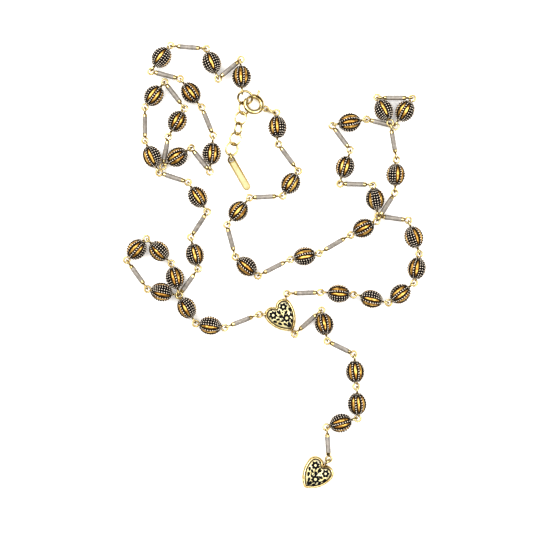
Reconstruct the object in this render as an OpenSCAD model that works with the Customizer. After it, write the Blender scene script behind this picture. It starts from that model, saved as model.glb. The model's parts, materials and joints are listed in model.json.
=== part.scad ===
// Heart pendant necklace: two strands of oval beads and slim bars, linked loop
// through loop, with a heart centrepiece, a beaded drop and a spring ring clasp.
// It lies flat; z = 0 is the surface it rests on.

/* [Beads] */
// Width of a bead
bead_w = 6.3; // [6.1:0.1:6.3]
// Length of a bead along its pin
bead_l = 7.4; // [7.0:0.1:7.4]
// Radius of a bead's flat ends
bead_end_r = 1; // [0.9:0.05:1.1]
// Depth of a polished slat at its middle
slat_depth = 0.28; // [0.2:0.02:0.34]
// Length of a slat along the bead
slat_l = 6; // [5:0.2:6.2]
// Width of a slat round the bead, in degrees
slat_angle = 18; // [14:1:22]

/* [Bars] */
// Outer diameter of a bar's ribbed sleeve
sleeve_d = 1.75; // [1.5:0.05:1.8]
// Length of a sleeve
sleeve_l = 5.7; // [5.2:0.1:5.7]
// Diameter of the caps at a sleeve's ends
cap_d = 1.5; // [1.2:0.05:1.6]

/* [Wire] */
// Diameter of the straight wire through a bead or a bar
pin_d = 0.5; // [0.44:0.02:0.52]
// Diameter of the bore that the wire passes through
bore_d = 0.8; // [0.7:0.05:0.9]
// Diameter of the wire in a loop
loop_d = 0.56; // [0.54:0.01:0.58]
// Diameter of the extender's link wire
link_d = 0.54; // [0.5:0.02:0.54]

/* [Hearts] */
// Width of a heart
heart_w = 10.6; // [10.2:0.1:10.8]
// Length from a heart's widest line to its tip
heart_tip = 8.7; // [8.5:0.1:8.8]
// Height of the rim at the heart's middle
rim_h = 2.6; // [2.3:0.1:2.8]
// Height of the raised field at the heart's middle
field_h = 2.85; // [2.6:0.05:3.0]
// Width of the rim
rim_w = 0.7; // [0.5:0.05:0.8]
// Width of the groove between rim and field
groove_w = 0.35; // [0.25:0.05:0.45]
// Depth of the groove below the rim's inner edge
groove_depth = 0.45; // [0.3:0.05:0.6]

/* [Clasp] */
// Outer diameter of the spring ring's tube
clasp_tube_d = 1.7; // [1.6:0.05:1.7]
// Bore of the tube
clasp_bore_d = 1.06; // [1.0:0.02:1.1]
// Diameter of the sprung bolt
bolt_d = 0.8; // [0.7:0.05:0.84]

/* [Tag] */
// Length of the tag
tag_l = 13.3; // [12:0.1:14]
// Width of the tag
tag_w = 2.6; // [2.4:0.1:2.6]
// Thickness of the tag
tag_t = 0.5; // [0.4:0.05:0.5]

/* [Hidden] */
$fn = 64;
// Facets of a wire's or a bore's circle, and of a large arc
wire_facets = 32;
arc_facets = 128;

// Centreline radius of every loop and its height on the hearts
loop_r = 1.05;
ear_z = 1.45;
// Loop centre to loop centre along a bead and along a bar
bead_pitch = 10.3;
bar_pitch = 10.6;
// Height of a loop centre when a bead rests on the surface
rest_z = 3.15;
// How far an entering loop sits from the loop that it hangs in
loop_slack = 1.05;
auto = undef;

bead_half = bead_l / 2;
bead_rise = bead_w / 2 - bead_end_r;
bead_arc_r = arc_radius(bead_half, bead_rise);
slat_half = slat_l / 2;
slat_end_r = bead_w / 2 - bead_arc_r + sqrt(pow(bead_arc_r, 2) - pow(slat_half, 2));
slat_floor = bead_w / 2 - slat_depth;
slat_arc_r = arc_radius(slat_half, slat_floor - slat_end_r);
// Where the slats sit round a bead: three together, and two on the far side
slat_places = [0, 42, -42, 130, -130];
// Gap between a sleeve and its caps
cap_gap = 0.1;
cap_start = sleeve_l / 2 + cap_gap;
cap_l = 1.1;

// Outline of the hearts: round lobes, long side arcs that meet in the tip
lobe_r = 2.9;
lobe_x = heart_w / 2 - lobe_r;
notch_y = sqrt(pow(lobe_r, 2) - pow(lobe_x, 2));
side_r = (pow(heart_w / 2, 2) + pow(heart_tip, 2)) / heart_w;
dome_y = (lobe_r - heart_tip) / 2;
rim_dome_r = 18;
field_dome_r = 14;
// Height of the rim's inner edge, and of the groove's floor
rim_inner_h = 1.85;
groove_z = rim_inner_h - groove_depth;
// The necks between a heart and its soldered loops, and how far one runs into the heart
neck_d = 0.7;
side_neck_l = 1.4;
tip_neck_l = 1.2;
neck_root = 0.6;

// Where the centrepiece lies, and its three soldered loops
heart_at = [1.4, -16];
heart_turn = 37;
side_ear_reach = 4.8;
side_ear_angle = 40;
tip_ear = [-0.3, -10];
left_ear = [-lobe_x, 0] + side_ear_reach * heading(180 - side_ear_angle);
right_ear = [lobe_x, 0] + side_ear_reach * heading(side_ear_angle);
// The pendant's loop stands on edge in its notch
pendant_turn = -42;
pendant_ear_y = 3.6;

// Each row of a strand is a bead or a bar. Its columns: which of the two, the
// way it points, whether its first loop stands on edge, a bead's roll about its
// pin, how far the first loop sits from the loop before, and the far loop's height.
BEAD = 0;
BAR = 1;
KIND = 0;
HEADING = 1;
ON_EDGE = 2;
ROLL = 3;
SLACK = 4;
LIFT = 5;

left_strand = [
  [BAR, -159, 1, 0, 1.3, 3.6],
  [BEAD, 172, 0, -49, 1.2, 2.7],
  [BEAD, 120, 1, -48, 1.2, 3.8],
  [BEAD, 104, 1, 33, 1.2, 2.6],
  [BEAD, 135, 1, -57, auto, 3.8],
  [BEAD, -133, 0, 14, auto, 2.6],
  [BAR, -54, 1, 0, auto, 4.4],
  [BEAD, -12, 0, 57, auto, 2],
  [BAR, 54, 0, 0, auto, 3],
  [BEAD, 103, 0, 40, auto, 3.4],
  [BAR, 57, 0],
  [BEAD, 123, 1, 32],
  [BAR, 162, 0],
  [BEAD, 114, 1, -48],
  [BAR, 90, 0],
  [BEAD, 52, 0, 24],
  [BAR, -53, 0, 0, 0.9],
  [BEAD, -120, 0, -28],
  [BAR, -101, 0, 0, auto, 2.2],
  [BEAD, 32, 1, -11, auto, 4.4],
  [BAR, -52, 0, 0, 0.8],
  [BEAD, 85, 1, 35, 1.3],
  [BAR, 112, 0, 0, 1.2],
  [BEAD, 127, 1, 0, 1.2],
  [BAR, 166, 0],
  [BEAD, 53, 1, 120],
  [BAR, -5, 1],
  [BEAD, -69, 0, -131],
  [BAR, 41, 0, 0, auto, 2.6],
  [BEAD, -88, 1, 2, auto, 3.9]
];
right_strand = [
  [BAR, 2, 1, 0, 1.3, 3],
  [BEAD, -4, 1, -36, 1.3, 3.3],
  [BEAD, -13, 1, 42, 1.3],
  [BEAD, 38, 0, 6],
  [BEAD, 80, 0, -48],
  [BEAD, 108, 1, 56],
  [BAR, 172, 0, 0, auto, 2],
  [BEAD, 101, 1, 84, auto, 4.4],
  [BAR, 178, 1, 0, 0.9, 3],
  [BEAD, 73, 1, -33, auto, 3.4],
  [BAR, 127, 0, 0, auto, 3.8],
  [BEAD, 11, 1, -4, auto, 2.6],
  [BAR, -14, 0, 0, auto, 2.2],
  [BEAD, 60, 1, -39, 1.2, 4.2],
  [BAR, 178, 1, 0, 0.9, 2.1],
  [BEAD, -64, 0, 125, 0.9, 4.4],
  [BAR, -80, 1, 0, 1.3, 3.2],
  [BEAD, -93, 0, -55, 1.3, 3.2],
  [BAR, -123, 0, 0, 1.3, 4],
  [BEAD, -152, 0, -2, 1.2, 2.5],
  [BAR, -150, 1, 0, 1.2],
  [BEAD, -168, 0, 34],
  [BAR, -153, 1],
  [BEAD, 140, 0, -44],
  [BAR, 105, 1],
  [BEAD, 50, 1, -3],
  [BAR, 3, 0],
  [BEAD, 58, 0, -8],
  [BAR, 127, 1, 0, auto, 3.9],
  [BEAD, 93, 1, -41, auto, 2.45]
];
drop_strand = [
  [BAR, 42, 1, 0, auto, 1.8],
  [BEAD, -80, 0, -4, auto, 4.6],
  [BAR, -26, 0, 0, auto, 2.7],
  [BEAD, -86, 1, -3, auto, 3.7],
  [BEAD, -87, 1, -7, auto, 2.7],
  [BEAD, -165, 1, -21, auto, 3.6],
  [BAR, -86, 1, 0, auto, 1.6]
];

// Open rings by hand. Columns: centre, the way the ring's level diameter
// points, its roll about that diameter, centreline radius and wire.
AT = 0;
LEVEL = 1;
TILT = 2;
RADIUS = 3;
WIRE = 4;
clasp_link_row = [[-10.2, 58.7, 2.85], -6, 29, 2.5, 0.6];
spring_ring_row = [[-7.2, 56.5, 2.4], 140, 18, 2.9, clasp_tube_d];
clasp_ring_row = [[-1.1, 54.1, 2.15], -20, 88, 1.8, loop_d];
extender_rows = [
  [[-10.7, 55.1, 1.9], -86, -45, 2.23, link_d],
  [[-11.8, 51.6, 2.3], -106, 28, 2.23, link_d],
  [[-12.6, 47.9, 2.5], -101, -62, 2.23, link_d],
  [[-13.7, 44.4, 1.9], -104, 29, 2.23, link_d],
  [[-14.9, 40.85, 1.65], -116, -27, 2.23, link_d],
  [[-15.2, 38.15, 1.55], -82, 87, 1.25, link_d]
];
tag_at = [-15.05, 37.05, 1];
tag_heading = -60;
tag_slope = 3.5;
tag_hole_d = 1.6;

// Places round the spring ring, seen from above, in degrees. Mouth: where the
// body is open. Slot: where the knob travels.
mouth = [100, 150];
slot = [12, 74];
slot_w = 0.7;
knob_place = 68;
bolt_tip = 156;
// The bore starts here, and runs on past the mouth for the bolt's tip to seat in
bore_from = -90;
bolt_seat = 14;
mouth_overlap = 1;
bolt_start = 60;
trigger_travel = 48;
knob_d = 0.5;
knob_h = 0.75;
solder_place = -19;
solder_reach = 4.6;
solder_r = 0.95;
// The spring ring's own turn, so that the places above are true ones
clasp_turn = spring_ring_row[LEVEL];

left_run = walk(left_strand, start_at(left_ear));
right_run = walk(right_strand, start_at(right_ear));
drop_run = walk(drop_strand, start_at(tip_ear));
left_beads = rows_of(left_strand, BEAD);
right_beads = rows_of(right_strand, BEAD);
drop_beads = rows_of(drop_strand, BEAD);

// The pendant hangs on edge in the drop's last loop, and this way from it
pendant_way = 245;
drop_end = drop_run[len(drop_run) - 1][1];
pendant_ear = [drop_end[0], drop_end[1]] + loop_slack * heading(pendant_way);
pendant_at = pendant_ear - pendant_ear_y * heading(90 + pendant_turn);

function heading(angle) = [cos(angle), sin(angle)];
function turned(p, angle) = [
  p[0] * cos(angle) - p[1] * sin(angle),
  p[0] * sin(angle) + p[1] * cos(angle)
];
// Radius of the arc that rises by rise over half a chord
function arc_radius(half_chord, rise) = (pow(half_chord, 2) + pow(rise, 2)) / (2 * rise);
function or_else(value, usual) = is_undef(value) ? usual : value;
function bead_name(side, k) = str(side, "_bead_", k < 9 ? "0" : "", k + 1);
function rows_of(strand, kind) = [for (i = [0 : len(strand) - 1]) if (strand[i][KIND] == kind) i];
function start_at(ear) = let (p = heart_at + turned(ear, heart_turn)) [p[0], p[1], ear_z];
function pitch(row) = row[KIND] == BEAD ? bead_pitch : bar_pitch;

// Loop centres of each element in turn. A loop on edge leads the way of its own
// element; a flat one follows the element before.
function walk(strand, from, i = 0, way = 0) = i == len(strand) ? [] :
  let (
    row = strand[i],
    entry_way = i == 0 || row[ON_EDGE] == 1 ? row[HEADING] : way,
    step = or_else(row[SLACK], loop_slack) * heading(entry_way),
    entry = from + [step[0], step[1], 0],
    rise = or_else(row[LIFT], rest_z) - entry[2],
    reach = sqrt(pow(pitch(row), 2) - pow(rise, 2)) * heading(row[HEADING]),
    exit = entry + [reach[0], reach[1], rise]
  )
  concat([[entry, exit]], walk(strand, exit, i + 1, row[HEADING]));

// Whether the last loop of element i stands on edge: it crosses the next first loop
function last_on_edge(strand, i, end_on_edge) =
  i + 1 < len(strand) ? strand[i + 1][ON_EDGE] == 0 : end_on_edge;

// Puts an element's own X axis on the line between its two loop centres
module on_run(run, row) {
  rise = run[1][2] - run[0][2];
  translate((run[0] + run[1]) / 2)
    rotate([0, -asin(rise / pitch(row)), row[HEADING]])
      children();
}

module torus(radius, wire_d) {
  rotate_extrude() translate([radius, 0]) circle(d = wire_d, $fn = wire_facets);
}

module laid_ring(row) {
  translate(row[AT]) rotate([row[TILT], 0, row[LEVEL]]) torus(row[RADIUS], row[WIRE]);
}

module along_x(length, d) {
  rotate([0, 90, 0]) cylinder(h = length, d = d, center = true, $fn = wire_facets);
}

// A straight wire with a loop at each end
module eye_pin(span, first_on_edge, far_on_edge) {
  along_x(span - 2 * loop_r, pin_d);
  translate([-span / 2, 0, 0]) rotate([first_on_edge ? 90 : 0, 0, 0]) torus(loop_r, loop_d);
  translate([span / 2, 0, 0]) rotate([far_on_edge ? 90 : 0, 0, 0]) torus(loop_r, loop_d);
}

// Half of a bead's section, drilled, with the bead's own axis along Y
module bead_section() {
  intersection() {
    translate([bead_w / 2 - bead_arc_r, 0]) circle(r = bead_arc_r, $fn = arc_facets);
    translate([bore_d / 2, -bead_half]) square([bead_w / 2, bead_l]);
  }
}

// What a slat takes away: everything outside a flatter arc
module slat_section() {
  difference() {
    translate([slat_end_r, -slat_half]) square([bead_w / 2, slat_l]);
    translate([slat_floor - slat_arc_r, 0]) circle(r = slat_arc_r, $fn = arc_facets);
  }
}

module bead() {
  rotate([0, 90, 0])
    difference() {
      rotate_extrude() bead_section();
      for (place = slat_places)
        rotate_extrude(angle = slat_angle, start = place + 180 - slat_angle / 2) slat_section();
    }
}

module string_bead(strand, run, i) {
  color("midnightblue") on_run(run[i], strand[i]) rotate([strand[i][ROLL], 0, 0]) bead();
}

module pins(strand, run, end_on_edge) {
  color("khaki")
    for (i = rows_of(strand, BEAD))
      on_run(run[i], strand[i])
        eye_pin(bead_pitch, strand[i][ON_EDGE] == 1, last_on_edge(strand, i, end_on_edge));
}

module bar_wires(strand, run, end_on_edge) {
  color("khaki")
    for (i = rows_of(strand, BAR))
      on_run(run[i], strand[i]) {
        eye_pin(bar_pitch, strand[i][ON_EDGE] == 1, last_on_edge(strand, i, end_on_edge));
        for (side = [-1, 1]) translate([side * (cap_start + cap_l / 2), 0, 0]) along_x(cap_l, cap_d);
      }
}

module sleeves(strand, run) {
  color("slategray")
    for (i = rows_of(strand, BAR))
      on_run(run[i], strand[i])
        difference() {
          along_x(sleeve_l, sleeve_d);
          along_x(2 * sleeve_l, bore_d);
        }
}

// A heart's outline, moved inwards by inset
module heart_outline(inset = 0) {
  for (side = [-1, 1])
    translate([side * lobe_x, 0])
      intersection() {
        circle(r = lobe_r - inset);
        translate([-heart_w, 0]) square(2 * heart_w);
      }
  difference() {
    polygon([[-lobe_x, 0], [lobe_x, 0], [0, notch_y]]);
    if (inset > 0) translate([0, notch_y]) circle(r = inset);
  }
  intersection() {
    between_side_arcs(inset);
    translate([-heart_w, -2 * heart_w]) square(2 * heart_w);
  }
}

// The two long arcs of a heart's sides, as the space between them
module between_side_arcs(inset) {
  intersection_for (side = [-1, 1])
    translate([side * (heart_w / 2 - side_r), 0]) circle(r = side_r - inset, $fn = arc_facets);
}

// A heart cut from a domed plate of the height given at its middle
module domed_heart(inset, height, dome_r) {
  intersection() {
    linear_extrude(2 * height) heart_outline(inset);
    translate([0, dome_y, height - dome_r]) sphere(r = dome_r, $fn = arc_facets);
  }
}

module heart_body() {
  difference() {
    domed_heart(0, rim_h, rim_dome_r);
    translate([0, 0, groove_z]) linear_extrude(rim_h) heart_outline(rim_w);
  }
  domed_heart(rim_w + groove_w, field_h, field_dome_r);
}

// A soldered loop and the neck that holds it, pointing along X from the heart
module flat_ear(neck_l) {
  translate([0, 0, ear_z]) torus(loop_r, loop_d);
  translate([-loop_r - neck_l / 2, 0, ear_z]) along_x(neck_l, neck_d);
}

module heart_centre() {
  color("gold")
    translate([heart_at[0], heart_at[1], 0])
      rotate([0, 0, heart_turn]) {
        heart_body();
        translate([left_ear[0], left_ear[1], 0]) rotate([0, 0, 180 - side_ear_angle]) flat_ear(side_neck_l);
        translate([right_ear[0], right_ear[1], 0]) rotate([0, 0, side_ear_angle]) flat_ear(side_neck_l);
        translate([tip_ear[0], tip_ear[1], 0]) rotate([0, 0, -90]) flat_ear(tip_neck_l);
      }
}

module heart_pendant() {
  neck_l = pendant_ear_y - loop_r - notch_y + neck_root;
  color("gold")
    translate([pendant_at[0], pendant_at[1], 0])
      rotate([0, 0, pendant_turn]) {
        heart_body();
        translate([0, pendant_ear_y, ear_z]) {
          rotate([90, 0, 90]) torus(loop_r, loop_d);
          translate([0, -loop_r - neck_l / 2, 0]) rotate([0, 0, 90]) along_x(neck_l, neck_d);
        }
      }
}

module clasp_link() {
  color("khaki") laid_ring(clasp_link_row);
}

module clasp_ring() {
  color("khaki") laid_ring(clasp_ring_row);
}

// Puts the clasp's own plane, seen from above, where its ring lies
module on_clasp() {
  translate(spring_ring_row[AT])
    rotate([spring_ring_row[TILT], 0, clasp_turn])
      rotate([0, 0, -clasp_turn])
        children();
}

// Part of a tube bent round the clasp, from one place to another
module bent_tube(from, to, d, r = spring_ring_row[RADIUS]) {
  rotate_extrude(angle = to - from, start = from) translate([r, 0]) circle(d = d, $fn = wire_facets);
}

module spring_ring() {
  color("khaki")
    on_clasp()
      difference() {
        union() {
          bent_tube(mouth[1], mouth[0] + 360, clasp_tube_d);
          rotate([0, 0, solder_place]) translate([solder_reach, 0, 0]) torus(solder_r, loop_d);
        }
        bent_tube(bore_from, mouth[0] + mouth_overlap, clasp_bore_d);
        bent_tube(mouth[1] - mouth_overlap, mouth[1] + bolt_seat, clasp_bore_d);
        rotate_extrude(angle = slot[1] - slot[0], start = slot[0])
          translate([spring_ring_row[RADIUS] - slot_w / 2, 0]) square([slot_w, clasp_tube_d]);
      }
}

module clasp_trigger() {
  color("khaki")
    on_clasp() {
      bent_tube(bolt_start, bolt_tip, bolt_d);
      rotate([0, 0, knob_place])
        translate([spring_ring_row[RADIUS], 0, 0])
          cylinder(h = clasp_tube_d / 2 + knob_h, d = knob_d, $fn = wire_facets);
    }
}

module extender_links() {
  color("khaki") for (row = extender_rows) laid_ring(row);
}

module end_tag() {
  straight_l = tag_l - tag_w;
  color("khaki")
    translate(tag_at)
      rotate([0, tag_slope, tag_heading])
        translate([0, 0, -tag_t / 2])
          linear_extrude(tag_t)
            difference() {
              union() {
                circle(d = tag_w);
                translate([0, -tag_w / 2]) square([straight_l, tag_w]);
                translate([straight_l, 0]) circle(d = tag_w);
              }
              circle(d = tag_hole_d);
            }
}

heart_centre();
heart_pendant();
for (k = [0 : len(left_beads) - 1])
  string_bead(left_strand, left_run, left_beads[k]);
for (k = [0 : len(right_beads) - 1])
  string_bead(right_strand, right_run, right_beads[k]);
for (k = [0 : len(drop_beads) - 1])
  string_bead(drop_strand, drop_run, drop_beads[k]);
pins(left_strand, left_run, true);  // left_pins
pins(right_strand, right_run, false);  // right_pins
pins(drop_strand, drop_run, false);  // drop_pins
bar_wires(left_strand, left_run, true);  // left_bar_wires
bar_wires(right_strand, right_run, false);  // right_bar_wires
bar_wires(drop_strand, drop_run, false);  // drop_bar_wires
sleeves(left_strand, left_run);  // left_sleeves
sleeves(right_strand, right_run);  // right_sleeves
sleeves(drop_strand, drop_run);  // drop_sleeves
clasp_link();
spring_ring();
clasp_trigger();
clasp_ring();
extender_links();
end_tag();
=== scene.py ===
import json
import math
import bmesh
import bpy
import numpy
from mathutils import Matrix, Vector
from mathutils.kdtree import KDTree

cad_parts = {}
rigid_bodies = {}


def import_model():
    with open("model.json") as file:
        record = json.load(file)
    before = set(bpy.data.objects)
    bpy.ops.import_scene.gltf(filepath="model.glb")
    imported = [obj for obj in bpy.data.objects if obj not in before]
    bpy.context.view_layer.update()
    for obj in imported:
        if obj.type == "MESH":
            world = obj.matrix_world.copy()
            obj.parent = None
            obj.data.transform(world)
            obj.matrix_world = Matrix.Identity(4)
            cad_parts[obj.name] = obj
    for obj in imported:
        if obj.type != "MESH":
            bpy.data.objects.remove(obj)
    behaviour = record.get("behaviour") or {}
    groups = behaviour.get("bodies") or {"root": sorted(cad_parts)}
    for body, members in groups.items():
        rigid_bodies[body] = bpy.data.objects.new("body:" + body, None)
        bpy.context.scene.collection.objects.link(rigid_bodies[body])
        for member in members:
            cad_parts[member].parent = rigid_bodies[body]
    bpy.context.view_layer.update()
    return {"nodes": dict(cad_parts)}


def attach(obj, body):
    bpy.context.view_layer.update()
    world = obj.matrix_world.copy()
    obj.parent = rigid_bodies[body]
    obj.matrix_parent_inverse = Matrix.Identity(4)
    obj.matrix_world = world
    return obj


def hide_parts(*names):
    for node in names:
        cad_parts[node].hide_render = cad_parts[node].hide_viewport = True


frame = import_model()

mm = 0.001
mergeReach = 0.002 * mm  # points closer than this are one
pole = 0.0005  # in millimetres: a turned end as narrow as this is merged to one point
cadNodes = frame["nodes"]
strands = ["left", "right", "drop"]
print("stage: frame loaded")


# small helpers for modelling

def clearSelection():
    bpy.ops.object.select_all(action="DESELECT")


def startEdit(mode="EDGE"):
    bpy.ops.object.mode_set(mode="EDIT")
    bpy.ops.mesh.select_mode(type=mode)
    bpy.ops.mesh.select_all(action="SELECT")


def endEdit():
    bpy.ops.object.mode_set(mode="OBJECT")


def makeActive(piece):
    clearSelection()
    piece.select_set(True)
    bpy.context.view_layer.objects.active = piece


def tidyNormals(piece):
    makeActive(piece)
    startEdit("VERT")
    bpy.ops.mesh.remove_doubles(threshold=mergeReach)
    bpy.ops.mesh.normals_make_consistent(inside=False)
    endEdit()


def smooth(piece, degrees):
    makeActive(piece)
    bpy.ops.object.shade_smooth_by_angle(angle=math.radians(degrees))
    clearSelection()


def linkPiece(piece):
    bpy.context.scene.collection.objects.link(piece)


# a body turned about X: (along, radius) steps, drawn out ring by ring
def turned(name, profile, around):
    clearSelection()
    along, radius = profile[0]
    bpy.ops.mesh.primitive_circle_add(
        vertices=around, radius=radius, location=(along, 0, 0), rotation=(0, math.pi / 2, 0))
    piece = bpy.context.object
    piece.name = name
    bpy.ops.object.transform_apply()
    startEdit()
    for nextAlong, nextRadius in profile[1:]:
        step = (nextAlong - along, 0, 0)
        bpy.ops.mesh.extrude_region_move(TRANSFORM_OT_translate={"value": step})
        grow = nextRadius / radius
        bpy.ops.transform.resize(value=(1, grow, grow), center_override=(0, 0, 0))
        along, radius = nextAlong, nextRadius
    endEdit()
    tidyNormals(piece)
    return piece


# the mesh of a master piece as arrays, and the master taken away
def takeMaster(piece):
    mesh = piece.data
    points = numpy.array([vert.co[:] for vert in mesh.vertices])
    faces = [tuple(face.vertices) for face in mesh.polygons]
    paints = [face.material_index for face in mesh.polygons]
    bpy.data.objects.remove(piece)
    return points, faces, paints


# one mesh of many placed copies, from rows of master, place and paint (None keeps the master's own),
# where each point remembers its row
def scattered(name, rows, finishes):
    points, faces, paintOf, rowOf = [], [], [], []
    count = 0
    for row, (master, spot, paint) in enumerate(rows):
        masterPoints, masterFaces, masterPaints = master
        turn = numpy.array(spot)
        points.append(masterPoints @ turn[:3, :3].T + turn[:3, 3])
        faces += [tuple(index + count for index in face) for face in masterFaces]
        paintOf += [own if paint is None else paint for own in masterPaints]
        rowOf += [row] * len(masterPoints)
        count += len(masterPoints)
    mesh = bpy.data.meshes.new(name)
    mesh.from_pydata(numpy.vstack(points).tolist(), [], faces)
    for finish in finishes:
        mesh.materials.append(finish)
    mesh.polygons.foreach_set("material_index", paintOf)
    mesh.attributes.new("row", "INT", "POINT").data.foreach_set("value", rowOf)
    piece = bpy.data.objects.new(name, mesh)
    linkPiece(piece)
    return piece


# a place whose X, Y and Z axes are given, at a point
def place(xAxis, yAxis, zAxis, at):
    turn = Matrix((xAxis, yAxis, zAxis)).transposed().to_4x4()
    turn.translation = at
    return turn


def turnBy(degrees, axis):
    return Matrix.Rotation(math.radians(degrees), 4, axis)


def flatPlace(x, y, z, degrees):
    return Matrix.Translation((x, y, z)) @ turnBy(degrees, "Z")


def finishPiece(piece, nodes, degrees, body="necklace"):
    smooth(piece, degrees)
    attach(piece, body)
    if nodes:
        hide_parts(*nodes)


# where the made parts of a node lie, read from its solids

def looseParts(node):
    mesh = bmesh.new()
    mesh.from_mesh(node.data)
    bmesh.ops.remove_doubles(mesh, verts=mesh.verts, dist=mergeReach / 2)
    waiting = set(mesh.verts)
    parts = []
    while waiting:
        stack = [waiting.pop()]
        part = []
        while stack:
            vert = stack.pop()
            part.append(vert.co[:])
            for edge in vert.link_edges:
                other = edge.other_vert(vert)
                if other in waiting:
                    waiting.remove(other)
                    stack.append(other)
        parts.append(numpy.array(part))
    mesh.free()
    parts.sort(key=lambda part: tuple(part.mean(axis=0)))
    return parts


# the direction in which points spread least, "thin", or most, "long"
def spreadAxis(points, kind):
    spread = points - points.mean(axis=0)
    axes = numpy.linalg.eigh(spread.T @ spread)[1]
    return axes[:, {"thin": 0, "long": 2}[kind]]


# each wire part: its middle, its axis, and the way each end's loop faces
def wireRows(node, eyeReach):
    tipReach = 1.2 * eyeReach
    rows = []
    for part in looseParts(node):
        axis = spreadAxis(part, "long")
        along = part @ axis
        centres, normals = [], []
        for end in (along.min(), along.max()):
            tip = part[abs(along - end) < tipReach]
            normal = spreadAxis(tip, "thin")
            side = numpy.cross(normal, axis)
            way = 1 if end > along.mean() else -1
            centre = axis * (end - way * eyeReach)
            for line in (normal, side):
                centre = centre + line * ((tip @ line).max() + (tip @ line).min()) / 2
            centres.append(centre)
            normals.append(Vector(normal))
        axis = centres[1] - centres[0]
        rows.append((Vector(centres[0] + centres[1]) / 2, Vector(axis).normalized(), normals))
    return rows


# shader maths: a socket that adds, subtracts and multiplies like a number

class Signal:
    def __init__(self, bench, socket):
        self.bench = bench
        self.socket = socket

    def maths(self, kind, other, swap=False):
        pair = (other, self) if swap else (self, other)
        return self.bench.node("ShaderNodeMath", {"operation": kind}, pair)

    def __add__(self, other):
        return self.maths("ADD", other)

    def __radd__(self, other):
        return self.maths("ADD", other, True)

    def __sub__(self, other):
        return self.maths("SUBTRACT", other)

    def __rsub__(self, other):
        return self.maths("SUBTRACT", other, True)

    def __mul__(self, other):
        return self.maths("MULTIPLY", other)

    def __rmul__(self, other):
        return self.maths("MULTIPLY", other, True)


shaderSockets = {
    "colour": "Base Color",
    "roughness": "Roughness",
    "metallic": "Metallic",
    "normal": "Normal",
    "coat": "Coat Weight",
    "coatRoughness": "Coat Roughness",
    "ior": "IOR",
    "glow": "Emission Color",
    "glowPower": "Emission Strength",
}


# a material or a world with its nodes
class Bench:
    def __init__(self, owner, shader):
        owner.use_nodes = True
        self.owner = owner
        self.tree = owner.node_tree
        self.shader = self.tree.nodes[shader]

    def node(self, kind, settings=None, inputs=(), output=0):
        made = self.tree.nodes.new(kind)
        for key, value in (settings or {}).items():
            if key == "stops":
                ramp = made.color_ramp
                while len(ramp.elements) < len(value):
                    ramp.elements.new(0.5)
                for element, (at, shade) in zip(ramp.elements, value):
                    element.position = at
                    element.color = colour(*shade)
            else:
                setattr(made, key, value)
        pairs = inputs.items() if isinstance(inputs, dict) else enumerate(inputs)
        for key, value in pairs:
            self.feed(made.inputs[key], value)
        return Signal(self, made.outputs[output])

    def feed(self, socket, value):
        if isinstance(value, Signal):
            self.tree.links.new(value.socket, socket)
        elif value is not None:
            socket.default_value = value

    def set(self, **sockets):
        for key, value in sockets.items():
            self.feed(self.shader.inputs[shaderSockets[key]], value)

    def coordinates(self):
        return self.node("ShaderNodeTexCoord", output="Object")

    def noise(self, scale, detail):
        inputs = {"Vector": self.coordinates(), "Scale": scale, "Detail": detail, "Roughness": 0.5}
        return self.node("ShaderNodeTexNoise", None, inputs)

    def attribute(self, name):
        return self.node("ShaderNodeAttribute", {"attribute_name": name}, output="Fac")

    # sockets 0, 6 and 7 of a colour mix are its factor and its two colours, and output 2 is its colour
    def blend(self, amount, first, second):
        return self.node("ShaderNodeMix", {"data_type": "RGBA"}, {0: amount, 6: first, 7: second}, output=2)

    def ramp(self, value, stops):
        return self.node("ShaderNodeValToRGB", {"stops": stops}, {0: value})

    def bump(self, height, depth, strength):
        inputs = {"Strength": strength, "Distance": depth, "Height": height}
        return self.node("ShaderNodeBump", None, inputs)


def newMaterial(name):
    return Bench(bpy.data.materials.new(name), "Principled BSDF")


def colour(red, green, blue):
    return (red, green, blue, 1)


# "cloud", "scratch", "streak" and "fleck" are noise scales, "stops" are a ramp's places and colours, and
# "unevenness" is what the noise adds to the roughness at most
goldLook = {
    "cloud": 700,
    "scratch": 9000,
    "scratchPower": 0.4,
    "warm": (0.56, 0.42, 0.18),
    "warmUpTo": 0.3,
    "bright": (0.84, 0.73, 0.44),
    "brightFrom": 0.62,
    # the brown of the painted shade where parts meet and on steep flanks
    "patina": (0.16, 0.085, 0.02),
    "paintedShadeCover": (0.75, 0.5),  # how strongly the painted shade covers, and what the clouds add to that
    "roughness": 0.2,
    "unevenness": 0.12,
}

tagLook = {
    "bright": (0.62, 0.6, 0.41),
    "warm": (0.53, 0.49, 0.29),
    # the painted brown shade along the tag's edges
    "patina": (0.3, 0.2, 0.06),
    "roughness": 0.24,
}

scratchDepth = 0.01 * mm
dullIor = 1.3


def goldMaterial(name, **changes):
    look = {**goldLook, **changes}
    bench = newMaterial(name)
    cloud = bench.noise(look["cloud"], 4)
    grain = bench.noise(look["scratch"], 2)
    # painted brown shade, from the point attribute, where parts meet and on steep flanks
    shadeAmount = bench.attribute("patina")
    plate = bench.ramp(cloud, [(look["warmUpTo"], look["warm"]), (look["brightFrom"], look["bright"])])
    cover, clouding = look["paintedShadeCover"]
    bench.set(
        colour=bench.blend(shadeAmount * (cover + cloud * clouding), plate, colour(*look["patina"])),
        metallic=1.0,
        roughness=look["roughness"] + grain * look["unevenness"],
        normal=bench.bump(grain, scratchDepth, look["scratchPower"]),
    )
    return bench.owner


# black in the joints between the grains, and bright on their tops, partly as wear and partly as a painted
# highlight
grainLook = {
    "cloud": 1700,
    "clouding": 0.25,
    "roughness": 0.5,
    "unevenness": 0.15,
    "stops": [
        (0.6, (0.003, 0.003, 0.003)),
        (0.7, (0.1, 0.075, 0.055)),
        (0.8, (0.6, 0.5, 0.4)),
        (0.94, (1.0, 0.92, 0.8))],
}


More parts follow.
